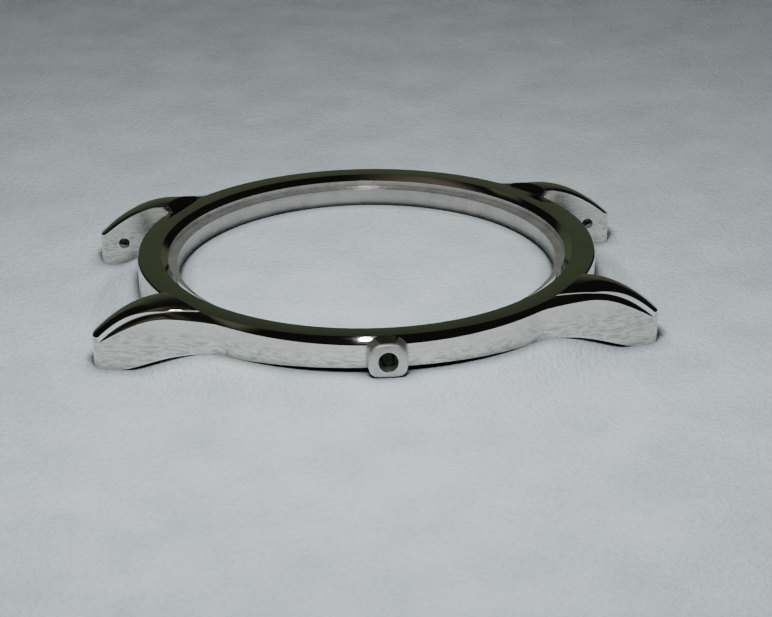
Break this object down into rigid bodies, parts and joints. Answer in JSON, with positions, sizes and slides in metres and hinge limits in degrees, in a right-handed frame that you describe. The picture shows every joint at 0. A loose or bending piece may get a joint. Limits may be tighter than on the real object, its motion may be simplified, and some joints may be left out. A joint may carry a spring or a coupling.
{
  "type": "empty wrist-watch case",
  "caption": "Empty round wrist-watch case: flat polished ring, satin sides, stepped lugs that curve down to the strap, and a boss round the stem hole.",
  "frame": {"origin": "on the axis of the ring, in the plane of its underside, at the mouth of the back's recess", "axes": "+Z to the dial side, +X to three o'clock, where the crown sits, +Y to twelve o'clock"},
  "size_m": [0.0406, 0.0466, 0.0056],
  "materials": {
    "case_steel": "polished ring top, shoulder, lug rolls and bevels; satin sides, brushed lengthwise",
    "tube_steel": "turned, dull inside"
  },
  "bodies": {
    "root": {"case_band": "case_steel", "lug_one_oclock": "case_steel", "lug_five_oclock": "case_steel", "lug_seven_oclock": "case_steel", "lug_eleven_oclock": "case_steel", "crown_boss": "case_steel", "crown_tube": "tube_steel"}
  },
  "joints": []
}
